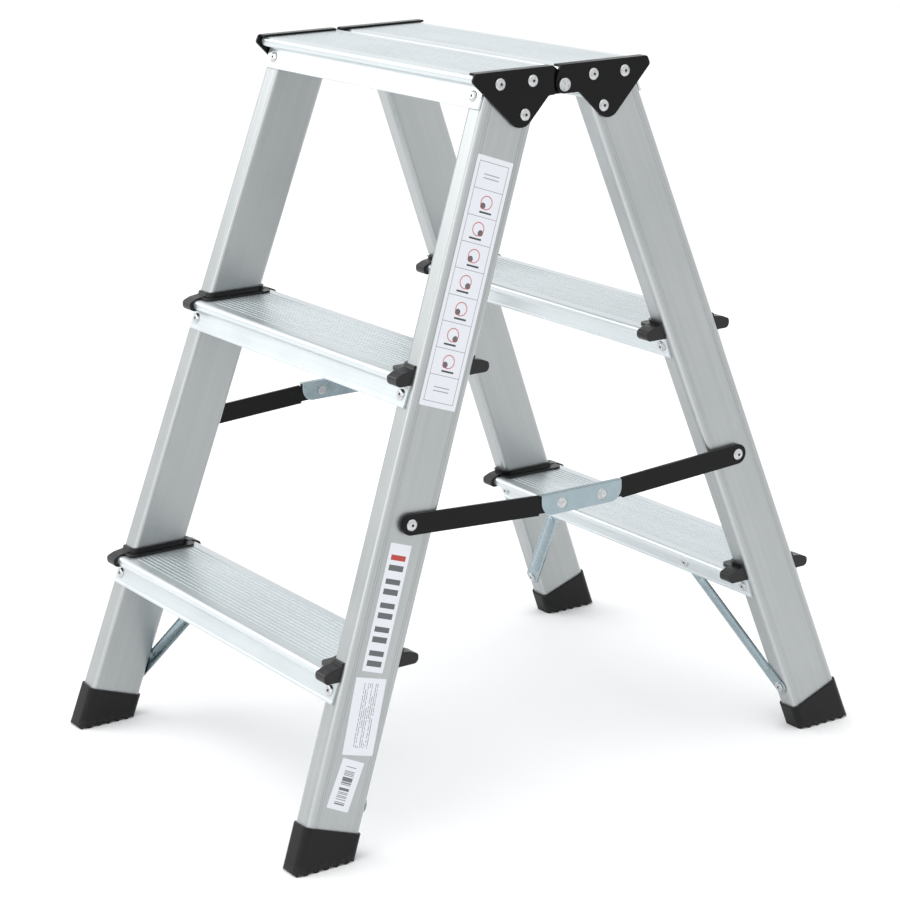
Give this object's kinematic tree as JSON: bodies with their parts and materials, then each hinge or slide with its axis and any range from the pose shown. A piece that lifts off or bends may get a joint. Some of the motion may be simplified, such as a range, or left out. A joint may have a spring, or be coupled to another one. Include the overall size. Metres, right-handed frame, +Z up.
{
  "type": "step ladder",
  "caption": "Folding double-sided aluminium step ladder with ribbed treads, a split platform, black hinge plates, folding spreader bars, plastic tread caps and toothed feet.",
  "frame": {"origin": "middle of the standing ladder's footprint, on the floor, under the hinge line", "axes": "+Z up, X along the treads, the front half at -Y and the rear half at +Y"},
  "size_m": [0.433, 0.615, 0.6481],
  "materials": {
    "stile_aluminium": "satin anodised, drawn lengthwise",
    "tread_aluminium": "satin anodised, ribbed on top",
    "black_steel": "satin black powder coat",
    "cap_plastic": "fine moulded texture",
    "foot_rubber": "matt, slightly dusty",
    "zinc_steel": "bright zinc plated sheet",
    "rivet_steel": "bright blind rivets, dark in the mandrel's hole"
  },
  "bodies": {
    "front_frame": {"front_bottom_tread": "tread_aluminium", "front_middle_tread": "tread_aluminium", "front_top_tread": "tread_aluminium", "front_left_stile": "stile_aluminium", "front_left_bottom_cap": "cap_plastic", "front_left_middle_cap": "cap_plastic", "front_left_foot": "foot_rubber", "front_left_brace": "zinc_steel", "front_left_hinge_plate": "black_steel", "front_right_stile": "stile_aluminium", "front_right_bottom_cap": "cap_plastic", "front_right_middle_cap": "cap_plastic", "front_right_foot": "foot_rubber", "front_right_brace": "zinc_steel", "front_right_hinge_plate": "black_steel", "front_tread_rivets": "rivet_steel", "front_brace_rivets": "rivet_steel", "front_hinge_rivets": "rivet_steel", "left_hinge_pin": "rivet_steel", "left_front_bar_rivet": "rivet_steel", "left_front_bar_washer": "cap_plastic", "right_hinge_pin": "rivet_steel", "right_front_bar_rivet": "rivet_steel", "right_front_bar_washer": "cap_plastic"},
    "rear_frame": {"rear_bottom_tread": "tread_aluminium", "rear_middle_tread": "tread_aluminium", "rear_top_tread": "tread_aluminium", "rear_left_stile": "stile_aluminium", "rear_left_bottom_cap": "cap_plastic", "rear_left_middle_cap": "cap_plastic", "rear_left_foot": "foot_rubber", "rear_left_brace": "zinc_steel", "rear_left_hinge_plate": "black_steel", "rear_right_stile": "stile_aluminium", "rear_right_bottom_cap": "cap_plastic", "rear_right_middle_cap": "cap_plastic", "rear_right_foot": "foot_rubber", "rear_right_brace": "zinc_steel", "rear_right_hinge_plate": "black_steel", "rear_tread_rivets": "rivet_steel", "rear_brace_rivets": "rivet_steel", "rear_hinge_rivets": "rivet_steel"},
    "left_front_bar": {"left_front_bar": "black_steel"},
    "left_rear_bar": {"left_rear_bar": "black_steel", "left_rear_bar_rivet": "rivet_steel", "left_rear_bar_washer": "cap_plastic"},
    "left_link": {"left_spreader_link": "zinc_steel", "left_link_rivets": "rivet_steel"},
    "right_front_bar": {"right_front_bar": "black_steel"},
    "right_rear_bar": {"right_rear_bar": "black_steel", "right_rear_bar_rivet": "rivet_steel", "right_rear_bar_washer": "cap_plastic"},
    "right_link": {"right_spreader_link": "zinc_steel", "right_link_rivets": "rivet_steel"}
  },
  "joints": [
    {"name": "fold", "type": "hinge", "parent": "front_frame", "child": "rear_frame", "pos_m": [0, 0, 0.6314], "axis": [-1, 0, 0], "range_deg": [0, 39.6]},
    {"name": "left_front_bar_turn", "type": "hinge", "parent": "front_frame", "child": "left_front_bar", "pos_m": [-0.2008, -0.17641, 0.2816], "axis": [1, 0, 0], "range_deg": [0, 57.51]},
    {"name": "left_link_turn", "type": "hinge", "parent": "left_front_bar", "child": "left_link", "pos_m": [-0.2008, -0.02175, 0.2906], "axis": [-1, 0, 0], "range_deg": [0, 77.31]},
    {"name": "left_rear_bar_turn", "type": "hinge", "parent": "left_link", "child": "left_rear_bar", "pos_m": [-0.2008, 0.02175, 0.2906], "axis": [-1, 0, 0], "range_deg": [0, 77.31]},
    {"name": "right_front_bar_turn", "type": "hinge", "parent": "front_frame", "child": "right_front_bar", "pos_m": [0.2008, -0.17641, 0.2816], "axis": [1, 0, 0], "range_deg": [0, 64.17]},
    {"name": "right_link_turn", "type": "hinge", "parent": "right_front_bar", "child": "right_link", "pos_m": [0.2008, -0.02175, 0.2726], "axis": [-1, 0, 0], "range_deg": [0, 83.97]},
    {"name": "right_rear_bar_turn", "type": "hinge", "parent": "right_link", "child": "right_rear_bar", "pos_m": [0.2008, 0.02175, 0.2726], "axis": [-1, 0, 0], "range_deg": [0, 83.97]}
  ],
  "couplings": [
    {"joint": "left_front_bar_turn", "follows": "fold", "ratio": 1.4471},
    {"joint": "left_link_turn", "follows": "fold", "ratio": 1.9471},
    {"joint": "left_rear_bar_turn", "follows": "fold", "ratio": 1.9471},
    {"joint": "right_front_bar_turn", "follows": "fold", "ratio": 1.6153},
    {"joint": "right_link_turn", "follows": "fold", "ratio": 2.1153},
    {"joint": "right_rear_bar_turn", "follows": "fold", "ratio": 2.1153}
  ]
}
